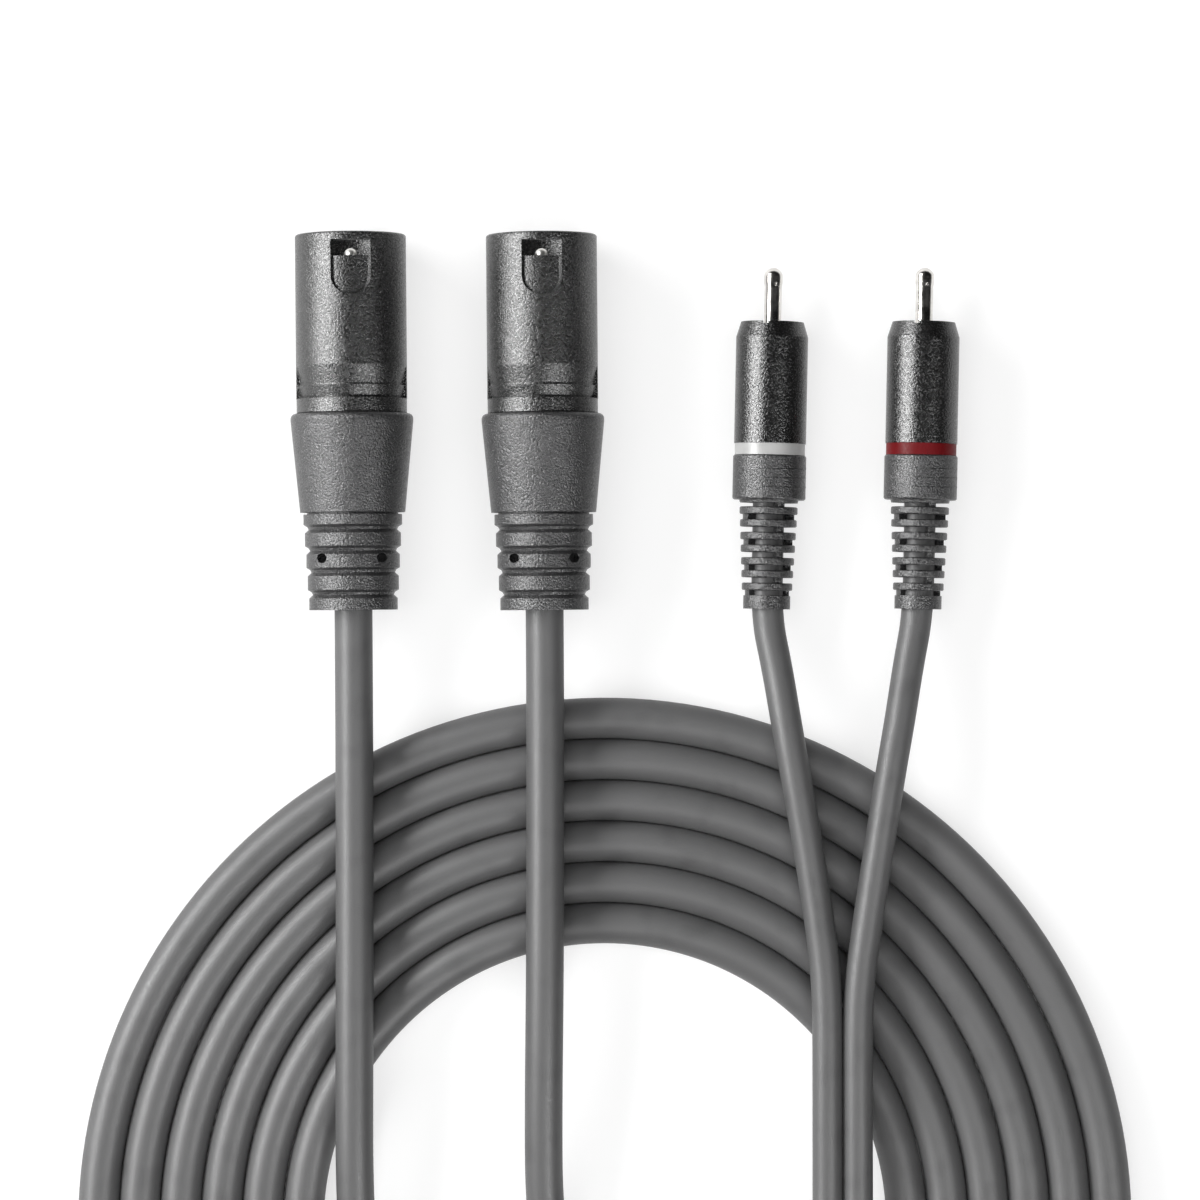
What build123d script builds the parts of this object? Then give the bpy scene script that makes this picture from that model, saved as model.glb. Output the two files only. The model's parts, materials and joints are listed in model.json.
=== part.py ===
from build123d import *
import os
from math import cos, pi, radians, sin, sqrt, tan

# Stereo adapter cable: two XLR male plugs and two RCA male plugs on two cords,
# the cords wound together into one flat round coil.
# +Z is up from the table at z = 0, +Y points out of the plugs' mouths, +X runs from the XLR pair
# to the RCA pair. The origin is the middle of the four plugs' footprint. Millimetres and degrees.

# ---------------------------------------------------------------- placing
xlr_mouths = {"left": (-47.2, 32.1), "right": (-14.5, 32.1)}
rca_tips = {"white": (25.45, 26.8), "red": (51.5, 26.8)}
xlr_lean = 0.5  # each XLR lies turned this much about Z, mouth towards -X
rca_lean = -1.2  # each RCA plug, tip towards +X
plug_roll = {"left": 3.0, "right": 0.7, "white": -2.2, "red": -4.1}  # about its own axis, top towards +X
coil_centre = (-3.6, -138.6)

# ---------------------------------------------------------------- cords
xlr_tail_d = 6.5
rca_tail_d = 5.2
strand_pitch = 7.07  # the strands swell to this, side by side
coil_strands = 6
coil_inner_r = 48.56
arc_share = 0.45  # of its shorter run, on each side of a corner, is taken by the corner's arc
bore_clearance = 0.15  # radial, round a cord in a moulded bore
overcut = 1.0  # how far a cutter runs past the surface that it opens

# ---------------------------------------------------------------- XLR plug, measured back from the mouth
shell_d = 19.0
shell_bore = 16.3
shell_rear_bore = 13.0
barrel_length = 22.5
rim_round = 0.45
first_ring_length = 3.1
first_ring_end_d = 17.7
ring_gap = 0.3
second_ring_length = 2.2
second_ring_start_d = 18.5
second_ring_end_d = 17.3
collar_length = 2.4
collar_d = 18.9
side_rib_width = 3.0
neck_length = 5.4
neck_d = 15.4
neck_groove_d = 14.8
neck_groove_length = 0.6

window_width = 6.7
window_from_rim = 1.4
window_length = 2.75
tab_length = 6.6
tab_depth = 0.55
tab_draft = 40.0
window_depth = 6.5  # from the barrel's top, well into its bore

pin_d = 2.36
pin_circle_r = 4.76
pin_recess = 1.9
pin_root_d = 2.0
insert_face = 14.8
insert_length = 7.5
insert_clearance = 0.05
insert_bevel = 0.4
cup_d = 2.8
cup_bore = 1.9
cup_length = 6.0
cup_depth = 3.0
wire_d = 1.5
wire_bend = 2.0
wire_ends = {"1": (1.3, 0.0), "2": (-1.3, 0.0), "3": (0.0, -1.9)}  # where each meets the cord's core

bushing_d = 17.2
bushing_length = 10.6
thread_clearance = 0.05
bushing_flange_length = 1.2
bushing_recess = 0.3  # its front stands this far inside the boot's
chuck_length = 16.0
chuck_in_neck = 1.9
chuck_cone_length = 5.0
chuck_cone_wall = 1.3
chuck_slot = 1.0
chuck_slot_start = 5.3  # back from the chuck's front
jacket_in_chuck = 6.0  # back from the chuck's front to where the cord's jacket is stripped
hand_clearance = 0.1
cavity_draft = 1.0  # length of the cone behind the chuck

boot_gap = 0.1  # between the collar and the boot
boot_length = 33.6
boot_roll = {"left": 1.0, "right": 0.7}  # each boot is screwed on, so it has its own
boot_front_d = 21.0
boot_rim_length = 1.35
boot_grip_d = 18.0
boot_grip_length = 16.9
grip_groove_length = 0.35
boot_edge_round = 0.9
rib_d = (16.9, 16.45, 16.0, 15.6, 15.15)
rib_end = (19.0, 22.65, 26.35, 30.15)  # ends of the first four ribs, from the boot's front
rib_gap = 1.05
rib_groove_depth = 0.65
rib_bevel = 0.4
mould_hole_d = 1.65
mould_hole_depth = 4.7  # down from the rib's top line
mould_hole_x = 5.1
mould_hole_from_front = 24.75

# ---------------------------------------------------------------- RCA plug, measured back from the tip
rca_pin_d = 3.2
rca_shaft_d = 3.0
rca_root_d = 2.6
rca_nose = (0.45, 1.05)  # a point on the rounded tip: back from its end, and its radius
rca_nose_length = 1.5
rca_bulb_length = 2.6
rca_bulb_cone = 0.6
rca_lug_d = 2.2
rca_lug_length = 6.2
sleeve_start = 9.4
sleeve_length = 20.9
sleeve_d = 12.4
sleeve_front_d = 10.8
sleeve_bevel = 2.6
sleeve_front_bore = 9.3
sleeve_rear_bore = 10.6
sleeve_step_depth = 12.6  # from its front to where the bore widens
notch_width = 0.8
notch_depth = 0.45
notch_x = -1.18
ring_bore = 8.3
ring_recess = 0.4
ring_slot = 0.7
ring_slot_length = 6.0
ring_turn = 29.0  # the slots stand this much off the plug's top and sides
ring_flange_length = 1.2
ring_clearance = 0.05
tab_thickness = 0.8
tab_width = 2.4
tab_reach = 3.6
insulator_length = 5.2
insulator_gap = 0.2  # in front of the bore's step
band_length = 2.0
band_d = 12.1
relief_collar_length = 7.7
relief_collar_d = 12.6
relief_edge_round = 0.4
relief_line_width = 0.25
relief_line_depth = 0.12
relief_line_pitch = 1.57
relief_lines = 3
relief_line_arc = 98.0  # from the right side to a little past the top
relief_step_d = 10.2
relief_step_length = 0.5
relief_spigot_gap = 0.1  # behind the ground ring's solder tab
relief_cavity_d = 8.6
relief_cavity_depth = 2.2  # behind the colour band
relief_rib_width = 1.28
relief_rib_round = 0.25
relief_rib_pitch = 2.18
relief_first_gap = 0.7
relief_ribs = 7
relief_front_d = 10.0
relief_rear_d = 8.5
relief_end_length = 2.3
relief_end_d = 8.1
bridge_arcs = ((53.2, 15.6), (143.0, 34.0))  # where each kind of bridge starts, and its turn, in degrees
bridge_inset = 0.45
bridge_bite = 0.4  # how far a bridge runs into the rib at each end
rca_jacket_depth = 3.7  # behind the colour band, where the cord's jacket is stripped
rca_core_d = 1.6
rca_drain_d = 1.2
rca_drain_bend = 1.5
rca_drain_in = 1.7  # from the axis to the drain, where it meets the cord
rca_drain_straight = 2.5  # in front of the jacket

# ---------------------------------------------------------------- worked out from the above
xlr_axis_z = max(boot_front_d, shell_d) / 2  # the plugs lie on their widest part
rca_axis_z = max(relief_collar_d, sleeve_d) / 2
first_ring_end = barrel_length + first_ring_length
second_ring_start = first_ring_end + ring_gap
second_ring_end = second_ring_start + second_ring_length
neck_start = second_ring_end + collar_length
neck_end = neck_start + neck_length
boot_start = neck_start + boot_gap
bushing_start = boot_start + bushing_recess
bushing_end = bushing_start + bushing_length
chuck_start = neck_end - chuck_in_neck
chuck_end = chuck_start + chuck_length
chuck_d = shell_rear_bore - 2 * hand_clearance
xlr_cord_bore = xlr_tail_d + 2 * bore_clearance
chuck_cone_d = xlr_cord_bore + 2 * chuck_cone_wall
jacket_start = chuck_start + jacket_in_chuck
insert_end = insert_face + insert_length
cup_end = insert_end + cup_length
coil_height = strand_pitch
coil_outer_r = coil_inner_r + coil_strands * strand_pitch
sleeve_step = sleeve_start + sleeve_step_depth
insulator_end = sleeve_step - insulator_gap
insulator_start = insulator_end - insulator_length
rca_pin_length = insulator_end + rca_lug_length
ring_flange_end = sleeve_step + ring_flange_length
band_start = sleeve_start + sleeve_length
relief_start = band_start + band_length
relief_tail_start = relief_start + relief_collar_length + relief_step_length
relief_first_rib = relief_tail_start + relief_first_gap
relief_end_start = relief_first_rib + relief_ribs * relief_rib_pitch
rca_cord_bore = rca_tail_d + 2 * bore_clearance
rca_jacket_start = relief_start + rca_jacket_depth
spigot_d = sleeve_rear_bore - 2 * ring_clearance
spigot_start = ring_flange_end + tab_reach + relief_spigot_gap

# ---------------------------------------------------------------- cord routes, chosen by hand
# Each starts where its jacket is stripped inside the plug and ends on the coil.
xlr_left_route = [
    (-46.86, -7.9, 10.5),
    (-46.58, -38.0, 10.47),
    (-46.45, -78.0, 10.44),
    (-46.5, -111.0, 10.47),
    (-46.6, -131.5, 8.9),
    (-45.8, -146.0, 5.6),
    (-41.9, -157.3, 3.7),
    (-35.6, -166.6, 3.35),
    (-27.3, -173.6, 3.35),
]
xlr_right_route = [
    (-14.13, -7.9, 10.5),
    (-13.85, -38.0, 10.47),
    (-13.8, -71.0, 10.44),
    (-13.9, -97.0, 10.46),
    (-14.15, -117.0, 8.8),
    (-14.1, -134.5, 5.9),
    (-12.3, -149.0, 4.0),
    (-7.6, -161.0, 3.4),
    (0.8, -170.6, 3.35),
    (12.5, -175.6, 3.35),
]
rca_white_route = [
    (24.68, -9.19, 6.3),
    (24.43, -21.0, 6.31),
    (24.22, -33.4, 6.35),
    (25.95, -41.9, 7.6),
    (27.35, -50.6, 9.5),
    (28.9, -59.5, 10.1),
    (31.0, -71.3, 9.9),
    (33.35, -86.5, 9.85),
    (34.5, -97.5, 9.95),
    (34.55, -114.0, 9.9),
    (34.6, -137.6, 9.2),
    (34.5, -160.0, 9.9),
    (32.2, -178.5, 10.1),
    (23.6, -194.0, 10.15),
    (9.2, -206.4, 10.3),
    (-11.7, -213.2, 10.5),
    (-33.5, -210.9, 10.6),
    (-50.8, -200.9, 10.6),
]
rca_red_route = [
    (50.77, -9.19, 6.3),
    (50.53, -21.0, 6.31),
    (50.25, -33.0, 6.35),
    (48.55, -41.5, 7.6),
    (47.05, -50.6, 9.3),
    (45.35, -60.0, 10.1),
    (43.5, -72.0, 9.9),
    (41.3, -87.0, 9.85),
    (39.95, -98.0, 9.95),
    (39.9, -114.0, 9.9),
    (40.0, -137.6, 9.2),
    (39.85, -160.0, 9.9),
    (37.3, -180.5, 10.1),
    (28.3, -198.0, 10.15),
    (12.35, -211.8, 10.3),
    (-11.0, -219.8, 10.5),
    (-35.7, -217.6, 10.6),
    (-53.0, -207.6, 10.6),
]
# Where the wound strands begin and end: each tail goes on straight for a little, then sinks into the coil.
lead_straight = 9.0
coil_leads = [
    (xlr_tail_d, xlr_left_route, (-9.1, -189.2, 3.5)),
    (xlr_tail_d, xlr_right_route, (37.5, -181.3, 3.5)),
    (rca_tail_d, rca_white_route, (-73.1, -181.6, 3.5)),
    (rca_tail_d, rca_red_route, (-77.1, -186.6, 3.5)),
]


def plug_face(start, height, lean, roll):
    """Plane at a plug's foremost point: local x is right, local y up, local z runs back along the plug."""
    level = Plane(origin=(*start, height)).rotated((0, 0, lean))
    turned = level.x_dir * cos(radians(roll)) - level.z_dir * sin(radians(roll))
    return Plane(origin=level.origin, x_dir=turned, z_dir=-level.y_dir)


def lengthwise(face, x=0.0, y=0.0):
    """Plane through one line of a plug: local x runs back along the line, local y is its radius."""
    return Plane(origin=face.from_local_coords((x, y, 0)), x_dir=face.z_dir, z_dir=face.x_dir)


def along(plane):
    """The axis that a lengthwise plane is turned about."""
    return Axis(origin=plane.origin, direction=plane.x_dir)


def from_above(face, back, height):
    """Level plane over a plug: local x is right, local y points to the mouth."""
    return Plane(origin=face.from_local_coords((0, height, back)), x_dir=face.x_dir, z_dir=face.y_dir)


def bend_radii(points):
    """Each corner's arc: its share of the shorter run over the tangent of half its turn."""
    spots = [Vector(*point) for point in points]
    runs = [after - before for before, after in zip(spots, spots[1:])]
    radii = []
    for before, after in zip(runs, runs[1:]):
        half_turn = radians(before.get_angle(after) / 2)
        radii.append(arc_share * min(before.length, after.length) / tan(half_turn))
    return radii


def save(part, node):
    part.label = node
    export_step(part, f"parts/{node}.step")


# ---------------------------------------------------------------- XLR plug
def tab_cutter(face):
    """The recess behind the latch window: a U with drafted walls, its floor parallel to the barrel."""
    side_height = sqrt((shell_d / 2) ** 2 - (window_width / 2) ** 2)  # where the U's sides leave the barrel
    with BuildPart() as cutter:
        with BuildSketch(from_above(face, window_from_rim, side_height)) as outline:
            with BuildLine():
                straight = window_length + tab_length - window_width / 2
                Line((window_width / 2, 0), (-window_width / 2, 0))
                Line((-window_width / 2, 0), (-window_width / 2, -straight))
                RadiusArc((-window_width / 2, -straight), (window_width / 2, -straight), -window_width / 2)
                Line((window_width / 2, -straight), (window_width / 2, 0))
            make_face()
        extrude(amount=-2 * tab_depth, taper=tab_draft)
        extrude(outline.sketch, amount=shell_d / 2 - side_height + overcut)
        with BuildSketch(face):
            Circle(shell_d / 2 - tab_depth)
        extrude(amount=window_from_rim + window_length + tab_length + overcut, mode=Mode.SUBTRACT)
    return cutter.part


def xlr_shell(face, node):
    recess = tab_cutter(face)
    line = lengthwise(face)
    with BuildPart() as shell:
        with BuildSketch(line):
            with BuildLine():
                Polyline(
                    (0, shell_bore / 2),
                    (0, shell_d / 2),
                    (barrel_length, shell_d / 2),
                    (first_ring_end, first_ring_end_d / 2),
                    (second_ring_start, first_ring_end_d / 2),
                    (second_ring_start, second_ring_start_d / 2),
                    (second_ring_end, second_ring_end_d / 2),
                    (second_ring_end, collar_d / 2),
                    (neck_start, collar_d / 2),
                    (neck_start, neck_groove_d / 2),
                    (neck_start + neck_groove_length, neck_groove_d / 2),
                    (neck_start + neck_groove_length, neck_d / 2),
                    (neck_end, neck_d / 2),
                    (neck_end, shell_rear_bore / 2),
                    (insert_end, shell_rear_bore / 2),
                    (insert_end, shell_bore / 2),
                    close=True,
                )
            make_face()
        revolve(axis=along(line))
        rim = shell.edges().filter_by(GeomType.CIRCLE).sort_by(along(line))[:2].sort_by(SortBy.RADIUS)
        fillet(rim[-1], rim_round)
        chamfer(rim[0], rim_round / 2)
        # full-diameter ribs on both sides of the tapered rings
        with BuildSketch(face.offset(barrel_length)):
            Circle(shell_d / 2)
            Circle((second_ring_end_d / 2 + shell_rear_bore / 2) / 2, mode=Mode.SUBTRACT)
            Rectangle(shell_d, side_rib_width, mode=Mode.INTERSECT)
        extrude(amount=second_ring_end - barrel_length)
        add(recess, mode=Mode.SUBTRACT)
        # the latch window
        with BuildSketch(from_above(face, window_from_rim + window_length / 2, shell_d / 2 + overcut)):
            Rectangle(window_width, window_length)
        extrude(amount=-window_depth - overcut, mode=Mode.SUBTRACT)
    save(shell.part, node)
    return shell.part


def contact_spots():
    """Pins 1 and 2 to the sides of the axis, pin 3 below it, opposite the latch window."""
    return {"1": (pin_circle_r, 0.0), "2": (-pin_circle_r, 0.0), "3": (0.0, -pin_circle_r)}


def xlr_insert(face, node):
    with BuildPart() as insert:
        with BuildSketch(face.offset(insert_face)):
            Circle(shell_bore / 2 - insert_clearance)
            with Locations(*contact_spots().values()):
                Circle(pin_root_d / 2, mode=Mode.SUBTRACT)
        extrude(amount=insert_length)
        front = insert.faces().sort_by(along(lengthwise(face)))[0]
        chamfer(front.outer_wire().edges(), insert_bevel)
    save(insert.part, node)
    return insert.part


def xlr_pin(face, spot, node):
    line = lengthwise(face, *spot)
    with BuildPart() as pin:
        with BuildSketch(line):
            with BuildLine():
                RadiusArc((pin_recess, 0), (pin_recess + pin_d / 2, pin_d / 2), pin_d / 2)
                Polyline(
                    (pin_recess + pin_d / 2, pin_d / 2),
                    (insert_face, pin_d / 2),
                    (insert_face, pin_root_d / 2),
                    (insert_end, pin_root_d / 2),
                    (insert_end, cup_d / 2),
                    (cup_end, cup_d / 2),
                    (cup_end, cup_bore / 2),
                    (cup_end - cup_depth, cup_bore / 2),
                    (cup_end - cup_depth, 0),
                    (pin_recess, 0),
                )
            make_face()
        revolve(axis=along(line))
    save(pin.part, node)
    return pin.part


def xlr_wires(face, node):
    """One wire from each solder cup to the cord's core: pin 1 ground, pin 2 hot, pin 3 cold."""
    cup_floor = cup_end - cup_depth
    with BuildPart() as wires:
        for number, spot in contact_spots().items():
            inner = wire_ends[number]
            stops = [
                (*spot, cup_floor),
                (*spot, cup_end + wire_d),
                (*inner, chuck_start - wire_d),
                (*inner, jacket_start),
            ]
            points = [face.from_local_coords(stop) for stop in stops]
            with BuildLine() as path:
                FilletPolyline(*points, radius=wire_bend)
            with BuildSketch(Plane(origin=points[0], z_dir=face.z_dir)):
                Circle(wire_d / 2)
            sweep(path=path.line)
    save(wires.part, node)
    return wires.part


def xlr_chuck(face, node):
    """Slotted collet round the cord's jacket, its rear coned to be pressed shut."""
    line = lengthwise(face)
    bore = xlr_cord_bore / 2
    with BuildPart() as chuck:
        with BuildSketch(line):
            with BuildLine():
                Polyline(
                    (chuck_start, bore),
                    (chuck_start, chuck_d / 2),
                    (chuck_end - chuck_cone_length, chuck_d / 2),
                    (chuck_end, chuck_cone_d / 2),
                    (chuck_end, bore),
                    close=True,
                )
            make_face()
        revolve(axis=along(line))
        with BuildSketch(face.offset(chuck_start + chuck_slot_start)):
            Rectangle(chuck_d * 2, chuck_slot)
            Rectangle(chuck_slot, chuck_d * 2)
        extrude(amount=chuck_length, mode=Mode.SUBTRACT)
    save(chuck.part, node)
    return chuck.part


def xlr_bushing(face, node):
    """Threaded sleeve on the shell's neck, with a rear flange that backs the boot's cavity."""
    line = lengthwise(face)
    start, end = bushing_start, bushing_end
    with BuildPart() as bushing:
        with BuildSketch(line):
            with BuildLine():
                Polyline(
                    (start, neck_d / 2 + thread_clearance),
                    (start, bushing_d / 2),
                    (end, bushing_d / 2),
                    (end, shell_rear_bore / 2 + hand_clearance),
                    (end - bushing_flange_length, shell_rear_bore / 2 + hand_clearance),
                    (end - bushing_flange_length, neck_d / 2 + thread_clearance),
                    close=True,
                )
            make_face()
        revolve(axis=along(line))
    save(bushing.part, node)
    return bushing.part


def boot_outline():
    """The boot's outside as (distance from its front, radius): a plain grip, then five ribs."""
    front_r = boot_front_d / 2
    points = [(0, front_r), (boot_rim_length, front_r), (boot_grip_length, boot_grip_d / 2)]
    rib_start = boot_grip_length + grip_groove_length
    for size, end in zip(rib_d, (*rib_end, boot_length)):
        radius = size / 2
        if size == rib_d[0]:
            points += [(boot_grip_length, radius - rib_groove_depth), (rib_start, radius - rib_groove_depth)]
            points += [(rib_start, radius)]
        else:
            points += [(rib_start - rib_bevel / 2, radius - rib_groove_depth), (rib_start + rib_bevel, radius)]
        if end < boot_length:
            points += [(end, radius), (end + rib_bevel, radius - rib_groove_depth)]
        else:
            points += [(end, radius)]
        rib_start = end + rib_gap
    return points


def xlr_boot(face, node):
    line = lengthwise(face)
    boot_end = boot_start + boot_length
    bore = xlr_cord_bore / 2
    with BuildPart() as boot:
        with BuildSketch(line):
            with BuildLine():
                outside = [(boot_start + back, radius) for back, radius in boot_outline()]
                Polyline(
                    (boot_start, bushing_d / 2),
                    *outside,
                    (boot_end, bore),
                    (chuck_end + cavity_draft, bore),
                    (chuck_end, chuck_cone_d / 2 + hand_clearance),
                    (chuck_end - chuck_cone_length, chuck_d / 2 + hand_clearance),
                    (bushing_end, chuck_d / 2 + hand_clearance),
                    (bushing_end, bushing_d / 2),
                    close=True,
                )
            make_face()
        revolve(axis=along(line))
        front_edges = boot.edges().filter_by(GeomType.CIRCLE).sort_by(along(line))[:2]
        fillet(front_edges.sort_by(SortBy.RADIUS)[-1], boot_edge_round)
        # small blind holes left by the mould's core pins, above and below
        for side in (1, -1):
            top = from_above(face, boot_start + mould_hole_from_front, side * rib_d[2] / 2)
            with BuildSketch(top):
                with Locations((mould_hole_x, 0), (-mould_hole_x, 0)):
                    Circle(mould_hole_d / 2)
            extrude(amount=-side * mould_hole_depth, mode=Mode.SUBTRACT)
    save(boot.part, node)
    return boot.part


# ---------------------------------------------------------------- RCA plug
def rca_pin(face, node):
    line = lengthwise(face)
    with BuildPart() as pin:
        with BuildSketch(line):
            with BuildLine():
                Spline((0, 0), rca_nose, (rca_nose_length, rca_pin_d / 2), tangents=((0, 1), (1, 0)))
                Polyline(
                    (rca_nose_length, rca_pin_d / 2),
                    (rca_bulb_length, rca_pin_d / 2),
                    (rca_bulb_length + rca_bulb_cone, rca_shaft_d / 2),
                    (insulator_start, rca_shaft_d / 2),
                    (insulator_start, rca_root_d / 2),
                    (insulator_end, rca_root_d / 2),
                    (insulator_end, rca_lug_d / 2),
                    (rca_pin_length, rca_lug_d / 2),
                    (rca_pin_length, 0),
                    (0, 0),
                )
            make_face()
        revolve(axis=along(line))
    save(pin.part, node)
    return pin.part


def rca_insulator(face, node):
    with BuildPart() as insulator:
        with BuildSketch(face.offset(insulator_start)):
            Circle(ring_bore / 2)
            Circle(rca_root_d / 2, mode=Mode.SUBTRACT)
        extrude(amount=insulator_length)
    save(insulator.part, node)
    return insulator.part


def rca_ground_ring(face, node):
    """Slotted spring ring with a seating flange and a solder tab."""
    line = lengthwise(face)
    start = sleeve_start + ring_recess
    with BuildPart() as ring:
        with BuildSketch(line):
            with BuildLine():
                Polyline(
                    (start, ring_bore / 2),
                    (start, sleeve_front_bore / 2 - ring_clearance),
                    (sleeve_step, sleeve_front_bore / 2 - ring_clearance),
                    (sleeve_step, sleeve_rear_bore / 2 - ring_clearance),
                    (ring_flange_end, sleeve_rear_bore / 2 - ring_clearance),
                    (ring_flange_end, ring_bore / 2),
                    close=True,
                )
            make_face()
        revolve(axis=along(line))
        with BuildSketch(face.offset(start)):
            Rectangle(sleeve_d, ring_slot, rotation=ring_turn)
            Rectangle(ring_slot, sleeve_d, rotation=ring_turn)
        extrude(amount=ring_slot_length, mode=Mode.SUBTRACT)
        with BuildSketch(face.offset(sleeve_step + ring_flange_length / 2)):
            with Locations((0, -(ring_bore + tab_thickness) / 2)):
                Rectangle(tab_width, tab_thickness)
        extrude(amount=ring_flange_length / 2 + tab_reach)
    save(ring.part, node)
    return ring.part


def rca_sleeve(face, node):
    line = lengthwise(face)
    with BuildPart() as sleeve:
        with BuildSketch(line):
            with BuildLine():
                Polyline(
                    (sleeve_start, sleeve_front_bore / 2),
                    (sleeve_start, sleeve_front_d / 2),
                    (sleeve_start + sleeve_bevel, sleeve_d / 2),
                    (band_start, sleeve_d / 2),
                    (band_start, sleeve_rear_bore / 2),
                    (sleeve_step, sleeve_rear_bore / 2),
                    (sleeve_step, sleeve_front_bore / 2),
                    close=True,
                )
            make_face()
        revolve(axis=along(line))
        with BuildSketch(from_above(face, sleeve_start, sleeve_front_d / 2 + overcut)):
            with Locations((notch_x, 0)):
                Rectangle(notch_width, 2 * notch_depth)
        extrude(amount=-sleeve_front_d / 4 - overcut, mode=Mode.SUBTRACT)
    save(sleeve.part, node)
    return sleeve.part


def rca_band(face, node):
    with BuildPart() as band:
        with BuildSketch(face.offset(band_start)):
            Circle(band_d / 2)
            Circle(sleeve_rear_bore / 2, mode=Mode.SUBTRACT)
        extrude(amount=band_length)
    save(band.part, node)
    return band.part


def relief_ring_d(back):
    """The slotted tail tapers evenly from its first rib to its end collar."""
    share = (back - relief_first_rib) / (relief_end_start - relief_first_rib)
    return relief_front_d + share * (relief_rear_d - relief_front_d)


def rca_relief(face, node):
    """Grey collar, its spigot in the sleeve, and the slotted tail: ribs joined by pairs of bridges."""
    line = lengthwise(face)
    bore = rca_cord_bore / 2
    cavity_end = relief_start + relief_cavity_depth
    collar_end = relief_start + relief_collar_length
    rib_starts = [relief_first_rib + i * relief_rib_pitch for i in range(relief_ribs)]
    gap_starts = [relief_tail_start] + [start + relief_rib_width for start in rib_starts]
    gap_ends = rib_starts + [relief_end_start]
    with BuildPart() as relief:
        with BuildSketch(line):
            with BuildLine():
                Polyline(
                    (spigot_start, relief_cavity_d / 2),
                    (spigot_start, spigot_d / 2),
                    (relief_start, spigot_d / 2),
                    (relief_start, relief_collar_d / 2),
                    (collar_end, relief_collar_d / 2),
                    (collar_end, relief_step_d / 2),
                    (relief_tail_start, relief_front_d / 2),
                    (relief_tail_start, bore),
                    (cavity_end, bore),
                    (cavity_end, relief_cavity_d / 2),
                    close=True,
                )
            make_face()
        revolve(axis=along(line))
        fillet(relief.edges().filter_by(GeomType.CIRCLE).group_by(SortBy.RADIUS)[-1], relief_edge_round)
        # fine grip lines over a quarter of the collar
        side = Plane(origin=face.origin, x_dir=face.z_dir, z_dir=face.y_dir)
        with BuildSketch(side):
            with Locations((relief_start + relief_collar_length / 2, relief_collar_d / 2)):
                with GridLocations(relief_line_pitch, 0, relief_lines, 1):
                    Rectangle(relief_line_width, 2 * relief_line_depth)
        revolve(axis=along(side), revolution_arc=relief_line_arc, mode=Mode.SUBTRACT)
        for start in rib_starts:
            with BuildSketch(face.offset(start)):
                Circle(relief_ring_d(start) / 2)
                Circle(bore, mode=Mode.SUBTRACT)
            extrude(amount=relief_rib_width)
            rims = relief.edges(Select.LAST).filter_by(GeomType.CIRCLE).group_by(SortBy.RADIUS)[-1]
            fillet(rims, relief_rib_round)
        with BuildSketch(face.offset(relief_end_start)):
            Circle(relief_end_d / 2)
            Circle(bore, mode=Mode.SUBTRACT)
        extrude(amount=relief_end_length)
        for index, (start, end) in enumerate(zip(gap_starts, gap_ends)):
            outside = relief_ring_d(end) / 2 - bridge_inset
            first, turn = bridge_arcs[index % 2]
            with BuildSketch(face.offset(start - bridge_bite)):
                with BuildLine():
                    CenterArc((0, 0), (bore + outside) / 2, first, turn)
                    CenterArc((0, 0), (bore + outside) / 2, first + 180, turn)
                trace(line_width=outside - bore)
            extrude(amount=end - start + 2 * bridge_bite)
    save(relief.part, node)
    return relief.part


def rca_wires(face, node):
    """Core from the pin's lug and drain from the ring's tab, both to the jacket's end."""
    tab_end = ring_flange_end + tab_reach
    tab_y = -(ring_bore - rca_drain_d) / 2 + ring_clearance
    with BuildPart() as wires:
        with BuildSketch(face.offset(rca_pin_length)):
            Circle(rca_core_d / 2)
        extrude(amount=rca_jacket_start - rca_pin_length)
        stops = [
            (0, tab_y, tab_end - 2 * rca_drain_d),
            (0, tab_y, tab_end + rca_drain_d),
            (0, -rca_drain_in, rca_jacket_start - rca_drain_straight),
            (0, -rca_drain_in, rca_jacket_start),
        ]
        points = [face.from_local_coords(stop) for stop in stops]
        with BuildLine() as path:
            FilletPolyline(*points, radius=rca_drain_bend)
        with BuildSketch(Plane(origin=points[0], z_dir=face.z_dir)):
            Circle(rca_drain_d / 2)
        sweep(path=path.line)
    save(wires.part, node)
    return wires.part


# ---------------------------------------------------------------- cords
def cord_tube(points, diameter, node):
    radii = bend_radii(points)
    with BuildPart() as tube:
        with BuildLine() as path:
            FilletPolyline(*points, radius=radii)
        with BuildSketch(Plane(origin=path.line @ 0, z_dir=path.line % 0)):
            Circle(diameter / 2)
        sweep(path=path.line)
    length = path.wire().length
    section = tube.part.volume / length
    full = pi * diameter**2 / 4
    print(f"{node}: length {length:.1f}, radii {[round(radius, 1) for radius in radii]}", end=", ")
    print(f"section {section / full:.4f} of full, lowest {tube.part.bounding_box().min.Z:.2f}")
    save(tube.part, node)
    return tube.part


def cable_coil(node):
    """The wound strands as one flat ring with rounded edges, with the leads that join the tails."""
    end_r = coil_height / 2
    with BuildPart() as coil:
        with BuildSketch(Plane.XZ.offset(-coil_centre[1])):
            with Locations((coil_centre[0] + (coil_inner_r + coil_outer_r) / 2, end_r)):
                SlotOverall(coil_outer_r - coil_inner_r, coil_height)
        revolve(axis=Axis((*coil_centre, 0), (0, 0, 1)))
        for diameter, route, sink in coil_leads:
            before, end = Vector(*route[-2]), Vector(*route[-1])
            turn_off = end + (end - before).normalized() * lead_straight
            points = [route[-1], tuple(turn_off), sink]
            with BuildLine() as path:
                FilletPolyline(*points, radius=bend_radii(points))
            with BuildSketch(Plane(origin=path.line @ 0, z_dir=path.line % 0)):
                Circle(diameter / 2)
            sweep(path=path.line)
    save(coil.part, node)
    return coil.part


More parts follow.
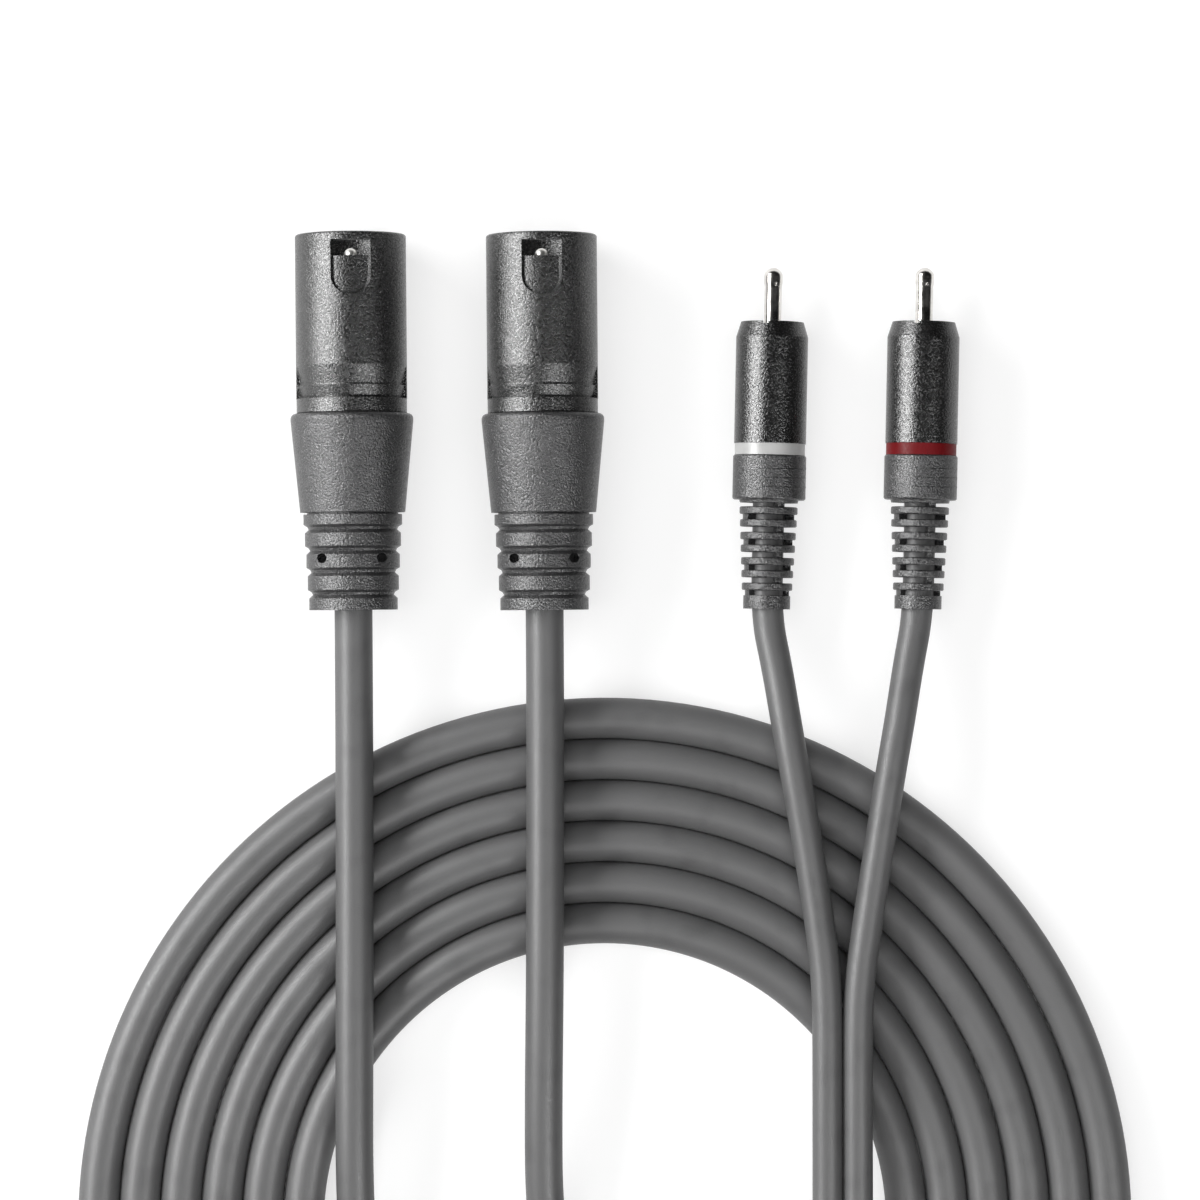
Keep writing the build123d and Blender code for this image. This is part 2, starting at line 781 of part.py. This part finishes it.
def xlr_plug(side):
    face = plug_face(xlr_mouths[side], xlr_axis_z, xlr_lean, plug_roll[side])
    node = f"xlr_{side}"
    xlr_shell(face, f"{node}_shell")
    xlr_insert(face, f"{node}_insert")
    for number, spot in contact_spots().items():
        xlr_pin(face, spot, f"{node}_pin_{number}")
    xlr_wires(face, f"{node}_wires")
    xlr_chuck(face, f"{node}_chuck")
    xlr_bushing(face, f"{node}_bushing")
    boot_face = plug_face(xlr_mouths[side], xlr_axis_z, xlr_lean, boot_roll[side])
    xlr_boot(boot_face, f"{node}_boot")


def rca_plug(colour):
    face = plug_face(rca_tips[colour], rca_axis_z, rca_lean, plug_roll[colour])
    node = f"rca_{colour}"
    rca_pin(face, f"{node}_pin")
    rca_insulator(face, f"{node}_insulator")
    rca_ground_ring(face, f"{node}_ground_ring")
    rca_sleeve(face, f"{node}_sleeve")
    rca_band(face, f"{node}_band")
    rca_relief(face, f"{node}_relief")
    rca_wires(face, f"{node}_wires")


os.makedirs("parts", exist_ok=True)
for side in xlr_mouths:
    xlr_plug(side)
for colour in rca_tips:
    rca_plug(colour)
cord_tube(xlr_left_route, xlr_tail_d, "xlr_left_tail")
cord_tube(xlr_right_route, xlr_tail_d, "xlr_right_tail")
cord_tube(rca_white_route, rca_tail_d, "rca_white_tail")
cord_tube(rca_red_route, rca_tail_d, "rca_red_tail")
cable_coil("cable_coil")
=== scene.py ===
import json
from math import cos, pi, radians, sin

import bpy
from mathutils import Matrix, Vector


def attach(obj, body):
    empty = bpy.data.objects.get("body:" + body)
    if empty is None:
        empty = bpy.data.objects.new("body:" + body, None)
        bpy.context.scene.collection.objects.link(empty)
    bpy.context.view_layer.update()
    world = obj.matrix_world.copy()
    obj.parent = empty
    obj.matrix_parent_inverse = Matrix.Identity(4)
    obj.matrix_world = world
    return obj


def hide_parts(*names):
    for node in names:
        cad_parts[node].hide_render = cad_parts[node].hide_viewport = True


# Stereo adapter cable: two XLR male plugs and two RCA male plugs on two cords, wound into one flat coil.
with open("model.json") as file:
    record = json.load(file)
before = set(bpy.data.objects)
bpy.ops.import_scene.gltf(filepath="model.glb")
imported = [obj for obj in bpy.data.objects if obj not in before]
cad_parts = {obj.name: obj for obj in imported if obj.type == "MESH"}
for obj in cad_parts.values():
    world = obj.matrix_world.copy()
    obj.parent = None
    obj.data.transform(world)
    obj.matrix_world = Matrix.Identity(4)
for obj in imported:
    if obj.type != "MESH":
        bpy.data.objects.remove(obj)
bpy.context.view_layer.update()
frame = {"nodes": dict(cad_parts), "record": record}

MM = 0.001

# ---------------------------------------------------------------- camera
CAMERA_XY = (-4.45, -30.4)  # straight above this point of the table
CAMERA_HEIGHT = 780.0
SENSOR = 36.0
LENS = 134.82
CLIP_END = 20  # metres

# ---------------------------------------------------------------- studio, metres and watts
PLUGS = (0.0, 0.0, 0.01)  # what the lamps face
FLOOR = 3.0  # half the floor's width
FLOOR_GREY = 0.4
FLOOR_ROUGHNESS = 0.7
FLOOR_GLOW = 0.64
STUDIO = 0.1  # brightness of the dim room overhead
HORIZON = 1.6  # brightness of the sweep round the table
HORIZON_FADE = (0.12, 0.35)  # sine of the height above the horizon where the sweep fades into the room
# Name, place, size along and across the plugs, watts, whether it lights them, whether gloss mirrors it.
LAMPS = [
    ("key", (-0.8, 0.2, 0.55), (0.9, 0.34), 9, True, True),
    ("strip", (-0.76, 0.19, 0.55), (0.9, 0.24), 15, False, True),
    ("fill", (0.42, -0.5, 0.7), (0.36, 0.26), 7, False, True),
    ("overhead", (-0.1, -0.3, 1.2), (1.6, 1.6), 17, True, False),
]

# ---------------------------------------------------------------- cords, millimetres
COIL_CENTRE = (-3.6, -138.25)
XLR_TAIL_R = 3.25
RCA_TAIL_R = 2.6
RCA_EXIT_R = 2.72  # the cord is a little thicker where it leaves the plug
STRAND_R = 3.55  # pressed together, side by side
STRAND_Z = 3.55
STRAND_PITCH = 7.07
INNER_STRAND_R = 52.1  # centreline of the innermost strand
TURN_POINTS = 24
LEFT_START, RIGHT_START = -20, -7  # degrees: where each cord's first turn starts
WOUND_END = 2 * 360 + 205  # degrees: both leave the coil here
ROUND_STEPS = 10  # the cord's section has 4 sides and twice this many more
LENGTH_STEPS = 8  # steps from one point of a cord to the next
# A quadratic spline with this many control points to a turn runs this much inside them.
SPLINE_SHRINK = (3 + cos(2 * pi / TURN_POINTS)) / 4
SHIFT_FROM, SHIFT_TO = 220, 350  # degrees: where each turn moves out to its next place

# The routes of the tails, in millimetres, from where the jacket is stripped inside each plug to the coil.
XLR_LEFT_ROUTE = [
    (-46.86, -7.9, 10.5), (-46.58, -38.0, 10.47), (-46.45, -78.0, 10.44), (-46.5, -111.0, 10.47),
    (-46.6, -131.5, 8.9), (-45.8, -146.0, 5.6), (-41.9, -157.3, 3.7), (-35.6, -166.6, 3.35),
    (-27.3, -173.6, 3.35),
]
XLR_LEFT_EXIT = (-46.64, -32.1, 10.5)  # where the cord leaves the boot
XLR_RIGHT_ROUTE = [
    (-14.13, -7.9, 10.5), (-13.85, -38.0, 10.47), (-13.8, -71.0, 10.44), (-13.9, -97.0, 10.46),
    (-14.15, -117.0, 8.8), (-14.1, -134.5, 5.9), (-12.3, -149.0, 4.0), (-7.6, -161.0, 3.4),
    (0.8, -170.6, 3.35), (12.5, -175.6, 3.35),
]
XLR_RIGHT_EXIT = (-13.94, -32.1, 10.5)
RCA_WHITE_ROUTE = [
    (24.68, -9.19, 6.3), (24.43, -21.0, 6.31), (24.22, -33.4, 6.35), (25.95, -41.9, 7.6), (27.35, -50.6, 9.5),
    (28.9, -59.5, 10.1), (31.0, -71.3, 9.9), (33.35, -86.5, 9.85), (34.5, -97.5, 9.95), (34.55, -114.0, 9.9),
    (34.6, -137.6, 9.2), (34.5, -160.0, 9.9), (32.2, -178.5, 10.1), (23.6, -194.0, 10.15),
    (9.2, -206.4, 10.3), (-11.7, -213.2, 10.5), (-33.5, -210.9, 10.6), (-50.8, -200.9, 10.6),
]
# The red cord lies against the white one from its ninth point to its twelfth.
ALONGSIDE_FROM, ALONGSIDE_TO = 7, 11  # the points just before and at the end of that stretch, counted from 0
RCA_RED_ROUTE = [
    (50.77, -9.19, 6.3), (50.53, -21.0, 6.31), (50.25, -33.0, 6.35), (48.55, -41.5, 7.6), (47.05, -50.6, 9.3),
    (45.35, -60.0, 10.1), (43.5, -72.0, 9.9), (41.2, -87.0, 9.85), (39.72, -98.0, 9.95), (39.7, -114.0, 9.9),
    (39.8, -137.6, 9.2), (39.72, -160.0, 9.9), (37.3, -180.5, 10.1), (28.3, -198.0, 10.15),
    (12.35, -211.8, 10.3), (-11.0, -219.8, 10.5), (-35.7, -217.6, 10.6), (-53.0, -207.6, 10.6),
]


def smooth(share):
    share = min(1.0, max(0.0, share))
    return share * share * (3 - 2 * share)


def wound(start, end, first_r):
    """Points of a strand wound counterclockwise from one angle to another. Each turn keeps its radius
    over the coil's upper half and moves out by two strands below."""
    points = []
    step = 360 / TURN_POINTS
    count = round((end - start) / step)
    for i in range(count + 1):
        angle = start + (end - start) * i / count
        turns_done = angle // 360
        shifted = smooth((angle % 360 - SHIFT_FROM) / (SHIFT_TO - SHIFT_FROM))
        radius = (first_r + 2 * STRAND_PITCH * (turns_done + shifted)) / SPLINE_SHRINK
        spot = radians(angle)
        x, y = COIL_CENTRE[0] + radius * cos(spot), COIL_CENTRE[1] + radius * sin(spot)
        points.append((x, y, STRAND_Z))
    return points


def around(points):
    """Points given relative to the coil's centre."""
    return [(x + COIL_CENTRE[0], y + COIL_CENTRE[1], z) for x, y, z in points]


def cord_curve(name, sections):
    """One NURBS curve through sections of (points, first radius, last radius)."""
    rows = []
    for points, first, last in sections:
        for i, point in enumerate(points):
            share = smooth(i / max(1, len(points) - 1))
            rows.append((point, first + (last - first) * share))
    curve = bpy.data.curves.new(name, "CURVE")
    curve.dimensions = "3D"
    curve.bevel_depth = 1  # so that a point's radius is the cord's, in metres
    curve.bevel_resolution = ROUND_STEPS
    curve.resolution_u = LENGTH_STEPS
    curve.use_fill_caps = True
    spline = curve.splines.new("NURBS")
    spline.points.add(len(rows) - 1)
    for control, (point, radius) in zip(spline.points, rows):
        control.co = (*(value * MM for value in point), 1)
        control.radius = radius * MM
    spline.order_u = 3
    spline.use_endpoint_u = True
    piece = bpy.data.objects.new(name, curve)
    bpy.context.scene.collection.objects.link(piece)
    return piece


def polar(angle, radius, z=STRAND_Z):
    spot = radians(angle)
    return (radius * cos(spot), radius * sin(spot), z)


def rca_sections(route):
    """An RCA plug's tail from the coil up to the plug, in the sections that cord_curve takes."""
    return [
        (route[:ALONGSIDE_TO:-1], STRAND_R, RCA_TAIL_R),
        (route[ALONGSIDE_TO:ALONGSIDE_FROM:-1], RCA_TAIL_R, RCA_TAIL_R),
        (route[ALONGSIDE_FROM::-1], RCA_TAIL_R, RCA_EXIT_R),
    ]


# From the left XLR plug, out of the hole to the second strand, nearly three turns, and up to the red RCA plug.
left_lead = around([
    polar(251, 46.6), polar(268, 50.6), polar(286, 54.6), polar(304, 57.7), polar(322, 59.4),
])
left_cord = cord_curve("cord_left", [
    (XLR_LEFT_ROUTE, XLR_TAIL_R, XLR_TAIL_R),
    (left_lead, XLR_TAIL_R, STRAND_R),
    (wound(LEFT_START, WOUND_END, INNER_STRAND_R + STRAND_PITCH), STRAND_R, STRAND_R),
    (around([polar(216, 87.9, 4.6), polar(225, 86.6, 8.4)]), STRAND_R, STRAND_R),
    *rca_sections(RCA_RED_ROUTE),
])
# From the right XLR plug round the inside of the hole, nearly three turns, and up to the white RCA plug.
right_lead = around([(29.0, -36.0, STRAND_Z), (40.0, -29.5, STRAND_Z), (48.2, -19.0, STRAND_Z)])
right_cord = cord_curve("cord_right", [
    (XLR_RIGHT_ROUTE, XLR_TAIL_R, XLR_TAIL_R),
    (right_lead, XLR_TAIL_R, STRAND_R),
    (wound(RIGHT_START, WOUND_END, INNER_STRAND_R), STRAND_R, STRAND_R),
    (around([polar(215, 80.6, 4.6), polar(224.5, 79.6, 8.4)]), STRAND_R, STRAND_R),
    *rca_sections(RCA_WHITE_ROUTE),
])
for cord, tails, exit_spot in (
    (left_cord, ("xlr_left_tail", "rca_red_tail", "cable_coil"), XLR_LEFT_EXIT),
    (right_cord, ("xlr_right_tail", "rca_white_tail"), XLR_RIGHT_EXIT),
):
    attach(cord, "root")
    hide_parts(*tails)


# ---------------------------------------------------------------- materials
# Every pattern is in the object's own space, and every node's object sits at the origin, so sizes are real.
NOISE_MIDDLE = (0.35, 0.65)  # where most of a noise's values lie
CLOUD = 9  # a slow change of colour, in grains
FINE_GRAIN = 3  # fine grains to a grain
FINE_SHARE = 0.35  # their share of its height


def new_material(name):
    material = bpy.data.materials.new(name)
    material.use_nodes = True
    return material, material.node_tree, material.node_tree.nodes["Principled BSDF"]


def noise(tree, size, detail=2.0, stretch=(1.0, 1.0, 1.0)):
    """Grain of this size in millimetres, drawn out along an axis by a stretch below one."""
    place = tree.nodes.new("ShaderNodeTexCoord")
    mapping = tree.nodes.new("ShaderNodeMapping")
    mapping.inputs["Scale"].default_value = stretch
    texture = tree.nodes.new("ShaderNodeTexNoise")
    texture.inputs["Scale"].default_value = 1 / (size * MM)
    texture.inputs["Detail"].default_value = detail
    tree.links.new(place.outputs["Object"], mapping.inputs["Vector"])
    tree.links.new(mapping.outputs["Vector"], texture.inputs["Vector"])
    return texture.outputs["Fac"]


def spread(tree, value, low, high):
    """The middle of a noise's range, mapped to low...high."""
    node = tree.nodes.new("ShaderNodeMapRange")
    for socket, limit in zip(("From Min", "From Max", "To Min", "To Max"), (*NOISE_MIDDLE, low, high)):
        node.inputs[socket].default_value = limit
    tree.links.new(value, node.inputs["Value"])
    return node.outputs["Result"]


def shades(tree, value, dark, light):
    node = tree.nodes.new("ShaderNodeValToRGB")
    first, last = node.color_ramp.elements
    first.position, last.position = NOISE_MIDDLE
    first.color, last.color = (*dark, 1), (*light, 1)
    tree.links.new(value, node.inputs["Fac"])
    return node.outputs["Color"]


def added(tree, first, second, share):
    """first + share * second"""
    node = tree.nodes.new("ShaderNodeMath")
    node.operation = "MULTIPLY_ADD"
    node.inputs[1].default_value = share
    tree.links.new(second, node.inputs[0])
    tree.links.new(first, node.inputs[2])
    return node.outputs["Value"]


def relief(tree, shader, height, depth, edge=0.0):
    """Bump of this depth in millimetres, over edges that catch the light as if rounded to this radius."""
    bump = tree.nodes.new("ShaderNodeBump")
    bump.inputs["Distance"].default_value = depth * MM
    tree.links.new(height, bump.inputs["Height"])
    if edge:
        bevel = tree.nodes.new("ShaderNodeBevel")
        bevel.inputs["Radius"].default_value = edge * MM
        tree.links.new(bevel.outputs["Normal"], bump.inputs["Normal"])
    tree.links.new(bump.outputs["Normal"], shader.inputs["Normal"])


def grained(name, dark, light, gloss, size, depth, edge=0.1, specular=0.5):
    """Moulded plastic or paint: roughness and relief follow one grain, the relief has a finer grain on it,
    and the colour changes slowly between dark and light."""
    material, tree, shader = new_material(name)
    coarse, fine = noise(tree, size), noise(tree, size / FINE_GRAIN, detail=1.0)
    grain = added(tree, coarse, fine, FINE_SHARE)
    tree.links.new(shades(tree, noise(tree, CLOUD * size), dark, light), shader.inputs["Base Color"])
    tree.links.new(spread(tree, coarse, *gloss), shader.inputs["Roughness"])
    shader.inputs["Specular IOR Level"].default_value = specular
    relief(tree, shader, grain, depth, edge)
    return material


def turned_metal(name, dark, light, gloss, depth=0.004):
    """Plated metal with the fine rings that turning leaves round a plug's axis."""
    material, tree, shader = new_material(name)
    rings = noise(tree, size=0.12, stretch=(0.05, 1.0, 0.05))
    cloud = noise(tree, size=1.2, detail=3.0)
    tree.links.new(shades(tree, cloud, dark, light), shader.inputs["Base Color"])
    tree.links.new(spread(tree, added(tree, cloud, rings, share=0.3), *gloss), shader.inputs["Roughness"])
    shader.inputs["Metallic"].default_value = 1.0
    relief(tree, shader, rings, depth)
    return material


def cord_pvc():
    """Satin grey PVC: a fine skin grain, and very shallow waves from the wires laid inside."""
    material, tree, shader = new_material("cord_pvc")
    skin, wave = noise(tree, size=0.22, detail=3.0), noise(tree, size=6.0, detail=1.0)
    colour = shades(tree, added(tree, wave, skin, share=0.4), (0.082, 0.082, 0.083), (0.108, 0.108, 0.109))
    tree.links.new(colour, shader.inputs["Base Color"])
    tree.links.new(spread(tree, skin, low=0.42, high=0.6), shader.inputs["Roughness"])
    shader.inputs["Specular IOR Level"].default_value = 0.5
    relief(tree, shader, added(tree, skin, wave, share=0.5), depth=0.03)
    return material


# By the record's material slot. After the name: dark and light colour, and roughness from and to. In grained
# they are followed by the grain's size and depth in millimetres, the edges' radius and the specular level.
PAINTS = {
    "xlr_shell": grained("shell_black", (0.008,) * 3, (0.014,) * 3, (0.16, 0.4), 0.33, 0.115, 0.15, 0.85),
    "xlr_insert": grained("insert_black", (0.016,) * 3, (0.024,) * 3, (0.45, 0.6), 0.3, 0.01),
    "xlr_contact": turned_metal("contact_silver", (0.72, 0.71, 0.68), (0.86, 0.85, 0.82), (0.3, 0.42)),
    "chuck": grained("chuck_acetal", (0.66, 0.66, 0.64), (0.76, 0.76, 0.74), (0.4, 0.55), 0.4, 0.01),
    "bushing": grained("bushing_black", (0.024,) * 3, (0.034,) * 3, (0.4, 0.55), 0.3, 0.01),
    "boot": grained(
        "boot_grey", (0.024, 0.024, 0.025), (0.036, 0.036, 0.037), (0.24, 0.44), 0.37, 0.18, 0.12, 0.8),
    "wires": grained("wire_red", (0.2, 0.045, 0.04), (0.28, 0.06, 0.05), (0.35, 0.5), 0.4, 0.01),
    "rca_contact": turned_metal("contact_nickel", (0.66, 0.64, 0.61), (0.78, 0.76, 0.73), (0.12, 0.22)),
    "insulator": grained("insulator_cream", (0.62, 0.61, 0.56), (0.72, 0.71, 0.66), (0.4, 0.55), 0.5, 0.01),
    "ground_ring": turned_metal("ring_nickel", (0.56, 0.55, 0.53), (0.7, 0.69, 0.67), (0.2, 0.34)),
    "rca_sleeve": grained("sleeve_black", (0.006,) * 3, (0.011,) * 3, (0.12, 0.32), 0.34, 0.1, 0.1, 0.8),
    "band_white": grained("band_white", (0.42, 0.42, 0.415), (0.49, 0.49, 0.485), (0.3, 0.42), 0.5, 0.012),
    "band_red": grained(
        "band_red", (0.14, 0.004, 0.006), (0.165, 0.005, 0.008), (0.35, 0.5), 0.5, 0.012, specular=0.1),
    "relief": grained(
        "relief_grey", (0.022, 0.022, 0.023), (0.034, 0.034, 0.035), (0.24, 0.44), 0.35, 0.16, 0.1, 0.8),
    "cord": cord_pvc(),
}
for part in frame["record"]["subparts"]:
    for slot in frame["nodes"][part["node"]].material_slots:
        slot.material = PAINTS[part["material_slot"]]
for cord in (left_cord, right_cord):
    cord.data.materials.append(PAINTS["cord"])


# ---------------------------------------------------------------- camera, light, floor
def make_camera():
    data = bpy.data.cameras.new("camera")
    data.sensor_width = SENSOR
    data.lens = LENS
    data.clip_end = CLIP_END
    camera = bpy.data.objects.new("camera", data)
    camera.location = (CAMERA_XY[0] * MM, CAMERA_XY[1] * MM, CAMERA_HEIGHT * MM)
    bpy.context.scene.collection.objects.link(camera)
    bpy.context.scene.camera = camera


def softbox(name, place, size, watts, lights, mirrored):
    """A lamp that faces the plugs and doesn't show itself. It lights them, shows in their gloss, or both."""
    data = bpy.data.lights.new(name, "AREA")
    data.shape = "RECTANGLE"
    data.size, data.size_y = size
    data.energy = watts
    light = bpy.data.objects.new(name, data)
    light.location = place
    light.rotation_euler = (Vector(place) - Vector(PLUGS)).to_track_quat("Z", "Y").to_euler()
    light.visible_camera = False
    light.visible_diffuse = lights
    light.visible_glossy = mirrored
    bpy.context.scene.collection.objects.link(light)


def make_world():
    """A dim room with a bright low horizon, like a white sweep seen from the table."""
    world = bpy.data.worlds.new("world")
    bpy.context.scene.world = world
    world.use_nodes = True
    tree = world.node_tree
    place = tree.nodes.new("ShaderNodeTexCoord")
    split = tree.nodes.new("ShaderNodeSeparateXYZ")
    ramp = tree.nodes.new("ShaderNodeMapRange")
    ramp.interpolation_type = "SMOOTHSTEP"
    for socket, limit in zip(("From Min", "From Max", "To Min", "To Max"), (*HORIZON_FADE, HORIZON, STUDIO)):
        ramp.inputs[socket].default_value = limit
    tree.links.new(place.outputs["Generated"], split.inputs["Vector"])
    tree.links.new(split.outputs["Z"], ramp.inputs["Value"])
    tree.links.new(ramp.outputs["Result"], tree.nodes["Background"].inputs["Strength"])


def make_floor():
    mesh = bpy.data.meshes.new("floor")
    corners = [(-FLOOR, -FLOOR, 0), (FLOOR, -FLOOR, 0), (FLOOR, FLOOR, 0), (-FLOOR, FLOOR, 0)]
    mesh.from_pydata(corners, [], [(0, 1, 2, 3)])
    floor = bpy.data.objects.new("floor", mesh)
    bpy.context.scene.collection.objects.link(floor)
    paint, tree, shader = new_material("floor_white")
    shader.inputs["Base Color"].default_value = (FLOOR_GREY, FLOOR_GREY, FLOOR_GREY, 1)
    shader.inputs["Roughness"].default_value = FLOOR_ROUGHNESS
    shader.inputs["Emission Color"].default_value = (1, 1, 1, 1)
    shader.inputs["Emission Strength"].default_value = FLOOR_GLOW
    mesh.materials.append(paint)


make_camera()
for lamp in LAMPS:
    softbox(*lamp)
make_world()
make_floor()
bpy.context.scene.view_settings.view_transform = "Standard"
